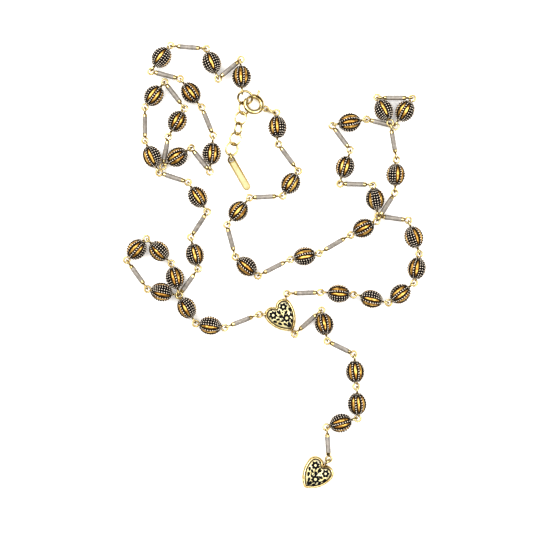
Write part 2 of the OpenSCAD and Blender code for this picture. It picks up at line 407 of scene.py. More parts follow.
def grainMaterial():
    bench = newMaterial("oxidised_grains")
    cloud = bench.noise(grainLook["cloud"], 3)
    worn = bench.attribute("worn") + (cloud - 0.5) * grainLook["clouding"]
    bench.set(
        colour=bench.ramp(worn, grainLook["stops"]),
        metallic=0.0,
        roughness=grainLook["roughness"] + cloud * grainLook["unevenness"],
        ior=dullIor,
    )
    return bench.owner


# amber, mottled, with a painted highlight along the crown and painted shade at the sides
slatLook = {
    "streak": 900,
    "fleck": 5200,
    "crownShare": 0.34,
    "streakShare": 1.15,
    "darker": 0.09,
    "metallic": 0.6,
    "roughness": 0.26,
    "unevenness": 0.16,
    "stops": [(0.34, (0.05, 0.018, 0.004)), (0.62, (0.42, 0.22, 0.045)), (0.88, (0.84, 0.6, 0.2))],
}


def slatMaterial():
    bench = newMaterial("amber_slats")
    # the slat's crown height, used as a painted highlight
    crown = bench.attribute("worn")
    streak = bench.noise(slatLook["streak"], 4)
    fleck = bench.noise(slatLook["fleck"], 2)
    tone = crown * slatLook["crownShare"] + streak * slatLook["streakShare"] - slatLook["darker"]
    bench.set(
        colour=bench.ramp(tone, slatLook["stops"]),
        metallic=slatLook["metallic"],
        roughness=slatLook["roughness"] + fleck * slatLook["unevenness"],
    )
    return bench.owner


sleeveLook = {
    "cloud": 900,
    "fleck": 7000,
    "fleckPower": 0.5,
    "stops": [(0.3, (0.36, 0.33, 0.295)), (0.7, (0.55, 0.51, 0.465))],
    # the painted brown shade on the sleeves' flanks
    "patina": (0.08, 0.055, 0.035),
    "metallic": 0.4,
    "roughness": 0.4,
    "unevenness": 0.2,
}


def sleeveMaterial():
    bench = newMaterial("ribbed_grey")
    cloud = bench.noise(sleeveLook["cloud"], 4)
    fleck = bench.noise(sleeveLook["fleck"], 2)
    plate = bench.ramp(cloud, sleeveLook["stops"])
    # painted brown shade on the steep flanks, from the point attribute
    bench.set(
        colour=bench.blend(bench.attribute("patina"), plate, colour(*sleeveLook["patina"])),
        metallic=sleeveLook["metallic"],
        roughness=sleeveLook["roughness"] + fleck * sleeveLook["unevenness"],
        normal=bench.bump(fleck, scratchDepth, sleeveLook["fleckPower"]),
    )
    return bench.owner


fieldLook = {
    "cloud": 420,
    "fleck": 3800,
    "stops": [(0.3, (0.6, 0.5, 0.24)), (0.5, (0.72, 0.66, 0.4)), (0.7, (0.78, 0.74, 0.56))],
    "metallic": 0.35,
    "roughness": 0.3,
    "unevenness": 0.15,
    "coat": 0.3,
    "coatRoughness": 0.1,
}


def fieldMaterial():
    bench = newMaterial("cream_gold_field")
    cloud = bench.noise(fieldLook["cloud"], 4)
    fleck = bench.noise(fieldLook["fleck"], 3)
    bench.set(
        colour=bench.ramp(cloud, fieldLook["stops"]),
        metallic=fieldLook["metallic"],
        roughness=fieldLook["roughness"] + fleck * fieldLook["unevenness"],
        coat=fieldLook["coat"],
        coatRoughness=fieldLook["coatRoughness"],
    )
    return bench.owner


# the dull dark finishes: cloud, stops, roughness, unevenness
dullLooks = {
    "black_ground": (2600, [(0.35, (0.003, 0.002, 0.002)), (0.7, (0.015, 0.01, 0.007))], 0.5, 0.2),
    "navy_enamel": (1800, [(0.35, (0.002, 0.002, 0.004)), (0.7, (0.008, 0.008, 0.014))], 0.45, 0.15),
    # a plain dark brown in the heart's groove
    "groove_patina": (1800, [(0.35, (0.05, 0.035, 0.03)), (0.7, (0.13, 0.1, 0.08))], 0.45, 0.15),
}


def dullMaterial(name):
    scale, stops, roughness, unevenness = dullLooks[name]
    bench = newMaterial(name)
    cloud = bench.noise(scale, 3)
    bench.set(
        colour=bench.ramp(cloud, stops),
        metallic=0.0,
        roughness=roughness + cloud * unevenness,
        ior=dullIor,
    )
    return bench.owner


gold = goldMaterial("pale_gold_plate")
tagGold = goldMaterial("tag_gold_plate", **tagLook)
rimGold = goldMaterial("rim_gold_plate", roughness=0.16)
darkMetal = grainMaterial()
amber = slatMaterial()
ground = dullMaterial("black_ground")
greyMetal = sleeveMaterial()
cream = fieldMaterial()
enamel = dullMaterial("navy_enamel")
groove = dullMaterial("groove_patina")
print("stage: materials")


# beads: a dark spindle, polished slats let into it, and rows of slanted grains

beadSet = {
    "length": 7.4 * mm,
    "width": 6.3 * mm,
    "endRadius": 1.0 * mm,
    "bore": 0.8 * mm,
    "groundDepth": 0.28 * mm,
    "groundLeast": 0.72 * mm,  # the ground's radius isn't less than this
    "groundSteps": 16,
    "groundSides": 32,
    "slatPlaces": [0, 42, -42, 130, -130],
    "slatHalfAngle": 12.4,
    "slatHalfLength": 2.75 * mm,
    "slatDepth": 0.28 * mm,
    "slatSteps": (16, 5),
    # at u from a slat's middle, 0, to a tip, 1, it has (1 - slatPoint * u * u) ** slatPower of its width
    "slatPoint": 0.97,
    "slatPower": 0.4,
    "slatCrown": 0.14 * mm,
    "slatFall": 0.6,  # the share of its crown that it loses at its tips
    "slatEdge": 0.88,  # its edge wall goes in to this share of its radius
    # gaps between slats, from and to in degrees, and the ropes laid in each
    "gaps": [(0, 42, 1), (-42, 0, 1), (42, 130, 4), (-130, -42, 4), (130, 230, 4)],
    "gapEdge": 10.8,
    "grainSides": 8,
    "grainRings": 6,
    "grainCut": -0.05,
    "grainAlong": 0.33 * mm,
    "grainAcross": 1.05,  # of the room in its row, so that rows touch
    "grainHeight": 0.51 * mm,
    "grainPitch": 0.84 * mm,
    "grainSlant": 28,
    "rowStart": 3.45 * mm,
    # what a grain would keep of its length, height and pitch where the bead has no radius left
    "endShares": (0.5, 0.55, 0.6),
    # small grains between a slat's tips and the bead's ends
    "tipPlaces": [2.86 * mm, 3.16 * mm, 3.44 * mm],
    "tipSize": (0.16 * mm, 0.3 * mm, 0.3 * mm),
}

grainPaint, groundPaint, slatPaint = 0, 1, 2  # a bead's materials: darkMetal, ground and amber


def arcRadius(halfChord, rise):
    return (halfChord ** 2 + rise ** 2) / (2 * rise)


beadHalf = beadSet["length"] / 2
beadTop = beadSet["width"] / 2
beadArc = arcRadius(beadHalf, beadTop - beadSet["endRadius"])


def beadRadius(x):
    return beadTop - beadArc + math.sqrt(beadArc ** 2 - x ** 2)


def slatFloor(x):
    floor = beadTop - beadSet["slatDepth"]
    arc = arcRadius(beadSet["slatHalfLength"], floor - beadRadius(beadSet["slatHalfLength"]))
    return floor - arc + math.sqrt(arc ** 2 - x ** 2)


# each rope's place round the bead and half its width, in degrees
def grainRows():
    rows = []
    edge = beadSet["gapEdge"]
    for low, high, count in beadSet["gaps"]:
        width = (high - low - 2 * edge) / count
        rows += [(low + edge + width * (k + 0.5), width / 2) for k in range(count)]
    return rows


# the top of a ball of radius one, cut just below its middle
def makeGrain():
    clearSelection()
    bpy.ops.mesh.primitive_uv_sphere_add(
        segments=beadSet["grainSides"], ring_count=beadSet["grainRings"], radius=1)
    grain = bpy.context.object
    startEdit("FACE")
    bpy.ops.mesh.bisect(plane_co=(0, 0, beadSet["grainCut"]), plane_no=(0, 0, 1), clear_inner=True)
    endEdit()
    return takeMaster(grain)


def makeBeadGround():
    steps = beadSet["groundSteps"]
    outline = []
    for k in range(steps + 1):
        x = -beadHalf + beadSet["length"] * k / steps
        outline.append((x, max(beadRadius(x) - beadSet["groundDepth"], beadSet["groundLeast"])))
    bore = beadSet["bore"] / 2
    profile = [(-beadHalf, bore)] + outline + [(beadHalf, bore), (-beadHalf, bore)]
    return takeMaster(turned("bead_ground", profile, beadSet["groundSides"]))


# a slat: a strip that follows the bead, crowned across and closed in towards its ends
def makeSlat():
    along, across = beadSet["slatSteps"]
    clearSelection()
    bpy.ops.mesh.primitive_grid_add(x_subdivisions=along, y_subdivisions=across, size=2)
    slat = bpy.context.object
    for vert in slat.data.vertices:
        u, v = vert.co.x, vert.co.y
        x = u * beadSet["slatHalfLength"]
        narrow = (1 - beadSet["slatPoint"] * u * u) ** beadSet["slatPower"]
        angle = math.radians(v * beadSet["slatHalfAngle"] * narrow)
        radius = slatFloor(x) + beadSet["slatCrown"] * (1 - v * v) * (1 - beadSet["slatFall"] * u * u)
        vert.co = (x, math.sin(angle) * radius, math.cos(angle) * radius)
    makeActive(slat)
    startEdit()
    bpy.ops.mesh.region_to_loop()
    bpy.ops.mesh.extrude_region_move(TRANSFORM_OT_translate={"value": (0, 0, 0)})
    edge = beadSet["slatEdge"]
    bpy.ops.transform.resize(value=(1, edge, edge), center_override=(0, 0, 0))
    endEdit()
    tidyNormals(slat)
    return takeMaster(slat)


# a place on the bead's skin, slanted in it, that sizes a master of size one
def surfacePlace(x, degrees, radius, slant, size):
    angle = math.radians(degrees)
    slope = math.atan2(-x, math.sqrt(beadArc ** 2 - x ** 2))
    outward = Vector((0, -math.sin(angle), math.cos(angle)))
    along = Vector((1, 0, 0)) * math.cos(slope) + outward * math.sin(slope)
    normal = outward * math.cos(slope) - Vector((1, 0, 0)) * math.sin(slope)
    across = normal.cross(along)
    at = Vector((x, 0, 0)) + outward * radius
    return place(along, across, normal, at) @ turnBy(slant, "Z") @ Matrix.Diagonal((*size, 1))


def shrunk(size, share, fit):
    return size * (share + (1 - share) * fit)


def grainPlaces():
    lengthShare, heightShare, pitchShare = beadSet["endShares"]
    pitch = beadSet["grainPitch"]
    places = []
    for index, (row, half) in enumerate(grainRows()):
        x = -beadSet["rowStart"] + (index % 2) * pitch / 2
        while x < beadSet["rowStart"]:
            radius = beadRadius(x) - beadSet["groundDepth"]
            fit = radius / (beadTop - beadSet["groundDepth"])
            length = shrunk(beadSet["grainAlong"], lengthShare, fit)
            across = beadSet["grainAcross"] * radius * math.radians(half)
            height = shrunk(beadSet["grainHeight"], heightShare, fit)
            places.append(surfacePlace(x, row, radius, beadSet["grainSlant"], (length, across, height)))
            x += shrunk(pitch, pitchShare, fit) * math.sqrt(1 - (x / beadArc) ** 2)
    return places


def tipGrainPlaces():
    places = []
    for slat in beadSet["slatPlaces"]:
        for way in (-1, 1):
            for x in beadSet["tipPlaces"]:
                radius = beadRadius(x) - beadSet["groundDepth"]
                places.append(surfacePlace(way * x, slat, radius, 0, beadSet["tipSize"]))
    return places


# this point value is 0 at the foot of a grain or slat and 1 at its full height: it gives the grains' tops
# wear and a painted highlight, and the slats' crowns a painted highlight
def makeBead():
    grain, shell, slat = makeGrain(), makeBeadGround(), makeSlat()
    rows = [(shell, Matrix(), groundPaint)]
    rows += [(slat, turnBy(angle, "X"), slatPaint) for angle in beadSet["slatPlaces"]]
    rows += [(grain, spot, grainPaint) for spot in grainPlaces() + tipGrainPlaces()]
    bead = scattered("bead_master", rows, [darkMetal, ground, amber])
    worn = bead.data.attributes.new("worn", "FLOAT", "POINT")
    for face in bead.data.polygons:
        for index in face.vertices:
            x, y, z = bead.data.vertices[index].co
            if face.material_index == slatPaint:
                height = (math.hypot(y, z) - slatFloor(x)) / beadSet["slatCrown"]
            else:
                height = (math.hypot(y, z) - beadRadius(x) + beadSet["groundDepth"]) / beadSet["grainHeight"]
            worn.data[index].value = min(1.0, max(0.0, height))
    print("stage: bead master,", len(bead.data.polygons), "faces")
    return bead


# how a bead's place is read from its solid
readSet = {
    "straight": 0.9995,  # how nearly a face of the flat ends looks along the pin
    "endDepth": 0.02 * mm,
    "slatReach": 1.5 * mm,  # sunk faces count within this of the bead's middle
    "sunk": (0.12 * mm, 0.35 * mm),  # and at least and at most this far below its outline
    "blur": 6,  # in degrees, as the step
    "step": 0.5,
}


# the pin's line and the bead's middle, from the two flat ends
def beadLine(normals, centres, areas):
    facing = {}
    for key, area in zip(map(tuple, numpy.round(normals, 2)), areas):
        facing[key] = facing.get(key, 0) + area
    axis = numpy.array(max(facing, key=facing.get))
    axis /= numpy.linalg.norm(axis)
    ends = []
    for way in (1, -1):
        flat = (normals @ axis) * way > readSet["straight"]
        reach = (centres[flat] @ axis * way).max()
        flat &= (centres @ axis) * way > reach - readSet["endDepth"]
        ends.append(numpy.average(centres[flat], axis=0, weights=areas[flat]))
    axis = (ends[0] - ends[1]) / numpy.linalg.norm(ends[0] - ends[1])
    return axis, (ends[0] + ends[1]) / 2


# the turn about the pin, in degrees, that lays the slats on the sunk faces
def beadRoll(along, across, height, areas):
    radius = numpy.hypot(across, height)
    outer = beadTop - beadArc + numpy.sqrt(beadArc ** 2 - numpy.clip(along, -beadHalf, beadHalf) ** 2)
    least, most = readSet["sunk"]
    sunk = (abs(along) < readSet["slatReach"]) & (radius < outer - least) & (radius > outer - most)
    angles = numpy.degrees(numpy.arctan2(-across[sunk], height[sunk]))
    best = (-1.0, 0.0)
    for roll in numpy.arange(0, 360, readSet["step"]):
        score = 0.0
        for slat in beadSet["slatPlaces"]:
            away = (angles - slat - roll + 180) % 360 - 180
            score += (areas[sunk] * numpy.exp(-(away / readSet["blur"]) ** 2)).sum()
        best = max(best, (score, roll))
    return best[1]


# a bead's own place, read from its solid: the flat ends give the pin's line, the slats the roll
def beadPlace(node):
    faces = node.data.polygons
    normals = numpy.array([face.normal[:] for face in faces])
    centres = numpy.array([face.center[:] for face in faces])
    areas = numpy.array([face.area for face in faces])
    axis, middle = beadLine(normals, centres, areas)
    side = numpy.cross((0, 0, 1.0), axis)
    side /= numpy.linalg.norm(side)
    up = numpy.cross(axis, side)
    off = centres - middle
    roll = beadRoll(off @ axis, off @ side, off @ up, areas)
    return place(axis, side, up, middle) @ turnBy(roll, "X")


def placeBeads():
    master = makeBead()
    names = [name for name in cadNodes if "_bead_" in name]
    for name in sorted(names):
        bead = master.copy()
        bead.data = master.data.copy()
        bead.name = "granulated_" + name
        linkPiece(bead)
        bead.data.transform(beadPlace(cadNodes[name]))
        bead.data.shade_smooth()
        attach(bead, "necklace")
        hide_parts(name)
    bpy.data.objects.remove(master)
    print("stage: beads,", len(names))


placeBeads()


# pins and bars: wire with an eye at each end, washers on the pins, caps and a ribbed sleeve on the bars

wireSet = {
    "wire": 0.67 * mm,
    "eyeRadius": 1.05 * mm,
    "eyeSides": 9,
    "eyeSweep": 338,
    "eyeSteps": 26,
    "stem": 0.5 * mm,
    "stemSides": 10,
    "stemOverlap": 0.1 * mm,  # how far the stem runs past the middle of the eye's wire
    "beadPitch": 10.3 * mm,
    "barPitch": 10.6 * mm,
    "collarSides": 16,
    "collarOverlap": 0.02 * mm,
    "smoothing": 50,
    # along and radius, in millimetres
    "washer": [(3.68, 0.62), (3.72, 0.78), (3.82, 0.78), (3.9, 0.6)],
    "cap": [
        (2.86, 0.42), (2.86, 0.8), (2.92, 0.86), (3.02, 0.82), (3.6, 0.78), (3.85, 0.68), (4.05, 0.46),
        (4.15, 0.28)],
}

sleeveSet = {
    "length": 5.7 * mm,
    "radius": 0.875 * mm,
    "boreRadius": 0.4 * mm,
    "ribs": 15,
    "ribDepth": 0.09 * mm,
    "sides": 18,
    "smoothing": 25,
}


# wire of the loops' thickness spun round Z, from a start on X, and closed where its ends are open
def spunWire(startX, sides, degrees, steps):
    clearSelection()
    bpy.ops.mesh.primitive_circle_add(
        vertices=sides, radius=wireSet["wire"] / 2, location=(startX, 0, 0), rotation=(math.pi / 2, 0, 0))
    wire = bpy.context.object
    bpy.ops.object.transform_apply()
    startEdit()
    bpy.ops.mesh.spin(steps=steps, angle=math.radians(degrees), center=(0, 0, 0), axis=(0, 0, 1))
    bpy.ops.mesh.select_all(action="SELECT")
    bpy.ops.mesh.remove_doubles(threshold=mergeReach)
    bpy.ops.mesh.fill_holes(sides=0)
    endEdit()
    tidyNormals(wire)
    return takeMaster(wire)


def makeStem(pitch):
    reach = pitch / 2 - wireSet["eyeRadius"] + wireSet["stemOverlap"]
    radius = wireSet["stem"] / 2
    profile = [(-reach, pole * mm), (-reach, radius), (reach, radius), (reach, pole * mm)]
    return takeMaster(turned("stem", profile, wireSet["stemSides"]))


def makeCollar(kind):
    steps = [(x * mm, radius * mm) for x, radius in wireSet[kind]]
    core = wireSet["stem"] / 2 - wireSet["collarOverlap"]
    profile = [(steps[0][0], core)] + steps + [(steps[-1][0], core)]
    return takeMaster(turned(kind, profile, wireSet["collarSides"]))


def makeSleeve():
    half, bore = sleeveSet["length"] / 2, sleeveSet["boreRadius"]
    steps = 2 * sleeveSet["ribs"]
    outer = []
    for k in range(steps + 1):
        x = -half + sleeveSet["length"] * k / steps
        outer.append((x, sleeveSet["radius"] - (0 if k % 2 else sleeveSet["ribDepth"])))
    profile = [(-half, bore)] + outer + [(half, bore), (-half, bore)]
    return takeMaster(turned("sleeve", profile, sleeveSet["sides"]))


def placeWires():
    eye = spunWire(-wireSet["eyeRadius"], wireSet["eyeSides"], wireSet["eyeSweep"], wireSet["eyeSteps"])
    eyeReach = wireSet["eyeRadius"] + wireSet["wire"] / 2
    sleeve = makeSleeve()
    for kind, collarKind, pitchName in (("pins", "washer", "beadPitch"), ("bar_wires", "cap", "barPitch")):
        pitch = wireSet[pitchName]
        stem, collar = makeStem(pitch), makeCollar(collarKind)
        for strand in strands:
            node = strand + "_" + kind
            rows, sleeves = [], []
            for middle, axis, normals in wireRows(cadNodes[node], eyeReach):
                side = normals[0].cross(axis).normalized()
                stemPlace = place(axis, side, axis.cross(side), middle)
                rows.append((stem, stemPlace, 0))
                sleeves.append((sleeve, stemPlace, 0))
                for way, normal in zip((-1, 1), normals):
                    out = axis * way
                    across = normal.cross(out).normalized()
                    facing = out.cross(across)
                    rows.append((eye, place(out, across, facing, middle + out * pitch / 2), 0))
                    rows.append((collar, place(out, across, facing, middle), 0))
            wires = scattered(strand + "_gold_" + kind, rows, [gold])
            finishPiece(wires, [node], wireSet["smoothing"])
            if kind == "bar_wires":
                tubes = scattered(strand + "_ribbed_sleeves", sleeves, [greyMetal])
                finishPiece(tubes, [strand + "_sleeves"], sleeveSet["smoothing"])
    print("stage: wires and sleeves")


placeWires()


# hearts: rounded rim, dark groove, domed field with a dark floral pattern, all in millimetres

heartSet = {
    "width": 10.6,
    "tip": 8.7,
    "lobe": 2.9,
    "lobeX": 2.4,
    "arcSteps": (4, 24, 21),  # at the notch, round the lobe and down the side
    "backInset": 0.2,
    # inset and height
    "rim": [(0, 0.25), (0, 1.9), (0.08, 2.25), (0.26, 2.5), (0.5, 2.6), (0.74, 2.5), (0.9, 2.2)],
    "groove": [(0.92, 1.6), (1.12, 1.6)],
    "field": [(1.12, 2.3), (1.15, 2.62), (1.24, 2.78), (1.38, 2.85)],
    "rimDome": 18.0,
    "fieldDome": 14.0,
    "domeFrom": 1,  # what is lower than this stays flat
    "domeY": -2.9,
    "middle": (0, -2.4),
    "rings": [0.86, 0.72, 0.58, 0.44, 0.3, 0.16],
    "smoothing": 42,
}

# the soldered rings and their necks
earSet = {
    "height": 1.45,
    "radius": 1.05,
    "sides": 10,
    "steps": 28,
    "lobeReach": 4.8,  # from a lobe's middle to its ring's
    "neck": [(0, pole), (0, 0.26), (0.2, 0.3), (0.6, 0.38), (0.95, 0.5), (1.25, 0.6), (1.25, pole)],
    "neckSides": 12,
}


# a flat ring beside a lobe: its place, the way it faces, and how far it is rolled on edge
def lobeEar(side, degrees):
    angle = math.radians(degrees)
    reach = earSet["lobeReach"]
    return (side * heartSet["lobeX"] + reach * math.cos(angle), reach * math.sin(angle), degrees, 0)


# where each heart lies, and each ring's place, facing and roll
heartPlaces = {
    "heart_centre": (
        flatPlace(1.4 * mm, -16 * mm, 0, 37), [lobeEar(-1, 140), lobeEar(1, 40), (-0.3, -10, -90, 0)]),
    "heart_pendant": (flatPlace(16.29 * mm, -71.586 * mm, 0, -42), [(0, 3.6, 90, 90)]),
}


def arcPoints(x, y, radius, angles):
    return [(x + radius * math.cos(angle), y + radius * math.sin(angle)) for angle in angles]


# the heart's outline at an inset, from the notch round by the right
def heartOutline(inset):
    half, tip, lobe, lobeX = heartSet["width"] / 2, heartSet["tip"], heartSet["lobe"], heartSet["lobeX"]
    notchSteps, lobeSteps, sideSteps = heartSet["arcSteps"]
    side = (half ** 2 + tip ** 2) / (2 * half)
    notch = math.sqrt(lobe ** 2 - lobeX ** 2)
    down = -math.pi / 2
    facing = math.atan2(-notch, lobeX)
    joint = math.atan2(notch, -lobeX)
    last = math.acos((side - half) / (side - inset))
    points = arcPoints(0, notch, inset, [down + (facing - down) * k / notchSteps for k in range(notchSteps)])
    points += arcPoints(lobeX, 0, lobe - inset, [joint * (1 - k / lobeSteps) for k in range(lobeSteps + 1)])
    sideAngles = [-last * k / sideSteps for k in range(1, sideSteps + 1)]
    points += arcPoints(half - side, 0, side - inset, sideAngles)
    return points + [(-x, y) for x, y in points[1:-1]][::-1]


def heartDome(x, y, height, radius):
    return height - radius + math.sqrt(radius ** 2 - x ** 2 - (y - heartSet["domeY"]) ** 2)


# each level of the heart: its part, its outline, its height at the dome's middle, and the dome's radius
def heartLevels():
    levels = [("back", heartOutline(heartSet["backInset"]), 0, None)]
    for part, radius in (("rim", heartSet["rimDome"]), ("groove", None), ("field", heartSet["fieldDome"])):
        for inset, height in heartSet[part]:
            dome = radius if height > heartSet["domeFrom"] else None
            levels.append((part, heartOutline(inset), height, dome))
    inset, height = heartSet["field"][-1]
    midX, midY = heartSet["middle"]
    for ring in heartSet["rings"]:
        outline = [(midX + (x - midX) * ring, midY + (y - midY) * ring) for x, y in heartOutline(inset)]
        levels.append(("field", outline, height, heartSet["fieldDome"]))
    return levels


# a circle is drawn up level by level, and each point then goes to its level's outline and height
def makeHeartBody():
    levels = heartLevels()
    count = len(levels[0][1])
    lift = 0.1 * mm  # between the levels while they are drawn
    clearSelection()
    bpy.ops.mesh.primitive_circle_add(vertices=count, radius=1 * mm)
    heart = bpy.context.object
    startEdit()
    for _ in levels:
        bpy.ops.mesh.extrude_region_move(TRANSFORM_OT_translate={"value": (0, 0, lift)})
    bpy.ops.mesh.merge(type="CENTER")
    endEdit()
    for finish in (rimGold, groove, cream):
        heart.data.materials.append(finish)
    paints = {"back": 0, "rim": 0, "groove": 1, "field": 2}
    for face in heart.data.polygons:
        level = min(len(levels) - 1, int(face.center.z / lift) + 1)
        face.material_index = paints[levels[level][0]]
    for vert in heart.data.vertices:
        level = round(vert.co.z / lift)
        if level == len(levels):
            x, y = heartSet["middle"]
            height, dome = levels[-1][2:]
        else:
            outline, height, dome = levels[level][1:]
            step = round(math.atan2(vert.co.y, vert.co.x) / (2 * math.pi) * count) % count
            x, y = outline[step]
        z = heartDome(x, y, height, dome) if dome else height
        vert.co = (x * mm, y * mm, z * mm)
    makeActive(heart)
    startEdit()
    bpy.ops.mesh.fill_holes(sides=0)
    endEdit()
    tidyNormals(heart)
    return takeMaster(heart)


floralSet = {
    "thickness": 0.05,
    "sink": 0.02,
    "stemWidth": 0.36,
    "dotSize": 0.5,
    # a petal of length one: its wall, the crown inside its edge, and how much it narrows outwards
    "petalSides": 12,
    "petalWall": 0.7,
    "petalEdge": 0.06,
    "petalCrown": 0.3,
    "petalTaper": 0.45,
    # x, y, petal length, petals, turn, petal width, how far the petals start from the middle
    "flowers": [
        (-2.3, -0.15, 1.1, 7, 10, 1.25, 0.42),
        (2.3, 0.05, 1.05, 6, 40, 1.3, 0.38),
        (0.9, -3.75, 1.1, 8, 0, 1.05, 0.5),
    ],
    # x, y, length, turn, width
    "leaves": [
        (-0.35, 0.4, 1.9, -84, 1.0), (0.5, 0.1, 1.7, -110, 0.8), (-0.75, -1.5, 1.6, -60, 1.1),
        (3.7, -1.3, 1.6, -106, 1.1), (2.6, -1.7, 1.5, -150, 0.9), (-3.5, -1.8, 1.5, -52, 1.1),
        (-2.5, -2.1, 1.5, -20, 0.95), (-2.5, -3.3, 1.6, -62, 1.1), (-1.5, -3.4, 1.2, -30, 0.7),
        (2.9, -3.1, 1.5, -96, 1.0), (2.1, -5.0, 1.4, -128, 1.0), (-1.1, -4.6, 1.6, -66, 1.1),
        (0.5, -5.2, 1.9, -98, 1.4), (-0.5, -5.9, 1.1, -70, 0.8),
    ],
    # from x, y to x, y
    "stems": [
        (-1.5, -1.1, -0.6, -2.7), (-0.6, -2.7, -0.9, -4.4), (0.1, -1.0, 0.2, -2.9), (1.9, -1.3, 1.2, -2.8),
        (3.2, -2.6, 2.4, -3.9), (-2.0, -2.9, -1.2, -3.4),
    ],
    "dots": [
        (0.9, -1.3), (1.35, -2.1), (-0.15, -3.4), (-1.75, -0.9), (-1.8, 1.55), (2.0, 1.65), (3.85, 0.3),
        (-0.95, 0.45), (1.05, 0.55), (-3.7, 0.2), (0.1, -6.9),
    ],
}


# a petal of raised enamel, pointing along X from the origin, one long
def makePetal():
    clearSelection()
    bpy.ops.mesh.primitive_circle_add(
        vertices=floralSet["petalSides"], radius=0.5, location=(0.5, 0, 0), fill_type="NGON")
    petal = bpy.context.object
    bpy.ops.object.transform_apply()
    startEdit("FACE")
    bpy.ops.mesh.extrude_region_move(TRANSFORM_OT_translate={"value": (0, 0, floralSet["petalWall"])})
    bpy.ops.mesh.inset(thickness=floralSet["petalEdge"], depth=floralSet["petalCrown"])
    endEdit()
    for vert in petal.data.vertices:
        vert.co.y *= 1 - floralSet["petalTaper"] * vert.co.x
    tidyNormals(petal)
    return takeMaster(petal)


# a spot on the domed field: length and width in millimetres, turned in the plane
def fieldPlace(x, y, turn, length, width, shift=0.0):
    radius, top = heartSet["fieldDome"], heartSet["field"][-1][1]
    angle = math.radians(turn)
    x, y = x + shift * math.cos(angle), y + shift * math.sin(angle)
    height = heartDome(x, y, top, radius)
    normal = Vector((x, y - heartSet["domeY"], height - top + radius)).normalized()
    across = normal.cross(Vector((math.cos(angle), math.sin(angle), 0))).normalized()
    at = Vector((x, y, height)) * mm - normal * floralSet["sink"] * mm
    size = Matrix.Diagonal((length * mm, width * mm, floralSet["thickness"] * mm, 1))
    return place(across.cross(normal), across, normal, at) @ size


def floralPlaces():
    spots = []
    for x, y, length, petals, turn, width, start in floralSet["flowers"]:
        for k in range(petals):
            spots.append(fieldPlace(x, y, turn + 360 * k / petals, length, width, start))
    for x, y, length, turn, width in floralSet["leaves"]:
        spots.append(fieldPlace(x, y, turn, length, width))
    for x, y, endX, endY in floralSet["stems"]:
        turn = math.degrees(math.atan2(endY - y, endX - x))
        spots.append(fieldPlace(x, y, turn, math.hypot(endX - x, endY - y), floralSet["stemWidth"]))
    size = floralSet["dotSize"]
    for x, y in floralSet["dots"]:
        spots.append(fieldPlace(x - size / 2, y, 0, size, size))
    return spots


# the body keeps its own paints, the rings and necks have the first finish and the petals the last
def placeHearts():
    body, petal = makeHeartBody(), makePetal()
    ring = spunWire(earSet["radius"] * mm, earSet["sides"], 360, earSet["steps"])
    profile = [(x * mm, radius * mm) for x, radius in earSet["neck"]]
    neck = takeMaster(turned("neck", profile, earSet["neckSides"]))
    finishes = [rimGold, groove, cream, enamel]
    for node, (spot, ears) in heartPlaces.items():
        rows = [(body, spot, None)]
        rows += [(petal, spot @ row, finishes.index(enamel)) for row in floralPlaces()]
        for x, y, turn, roll in ears:
            ear = spot @ flatPlace(x * mm, y * mm, earSet["height"] * mm, turn)
            rows.append((ring, ear @ turnBy(roll, "X"), 0))
            rows.append((neck, ear @ flatPlace(-earSet["radius"] * mm, 0, 0, 180), 0))
        piece = scattered("enamelled_" + node, rows, finishes)
        finishPiece(piece, [node], heartSet["smoothing"])
    print("stage: hearts")


placeHearts()


# clasp, rings, extender and tag: the made solids, merged, smoothed and plated

finishSet = {
    # node: slot, finish, body
    "clasp_link": ("clasp_gold", gold, "necklace"),
    "spring_ring": ("clasp_gold", gold, "necklace"),
    "clasp_trigger": ("clasp_gold", gold, "trigger"),
    "clasp_ring": ("clasp_gold", gold, "necklace"),
    "extender_links": ("wire_gold", gold, "necklace"),
    "end_tag": ("tag_gold", tagGold, "necklace"),
}

platedSet = {
    "thick": ("extender_links", "clasp_link", "clasp_ring"),
    "thickness": 0.08 * mm,
    "smoothing": 40,
}

tagSet = {
    "edge": 0.25 * mm,
    "edgeSteps": 3,
    "edgeAngle": 50,
    "frame": 0.5 * mm,
    "flat": 0.99,  # how nearly a flat face looks straight up or down
}

# the thumb piece on the clasp's knob, in millimetres: turned about X, and laid outwards from the ring
thumbSet = {
    "profile": [
        (2.62, pole), (2.66, 0.2), (2.8, 0.3), (3.7, 0.26), (3.95, 0.3), (4.1, 0.5), (4.25, 0.5), (4.4, 0.34),
        (4.6, 0.34), (4.75, 0.55), (4.9, 0.55), (5.05, 0.35), (5.1, pole)],
    "sides": 12,
    "smoothing": 60,
    "ringAt": (-7.2, 56.5, 2.4),  # the clasp's middle
    "ringLevel": 140,  # the clasp is tilted about a level line at this angle
    "ringTilt": 18,
    "knobPlace": 68,  # round the clasp, and over its middle plane
    "height": 1.35,
}


def copySolid(name, finish):
    source = cadNodes[name]
    piece = source.copy()
    piece.data = source.data.copy()
    piece.name = "polished_" + name
    piece.parent = None
    linkPiece(piece)
    piece.data.materials.clear()
    piece.data.materials.append(finish)
    makeActive(piece)
    startEdit("VERT")
    bpy.ops.mesh.remove_doubles(threshold=mergeReach)
    bpy.ops.mesh.tris_convert_to_quads()
    endEdit()
    return piece


def thickenWire(piece):
    plating = piece.modifiers.new("plating", "DISPLACE")
    plating.strength = platedSet["thickness"]
    plating.mid_level = 0
    bpy.ops.object.modifier_apply(modifier=plating.name)


def flatFaces(piece):
    return [face for face in piece.data.polygons if abs(face.normal.z) > tagSet["flat"]]
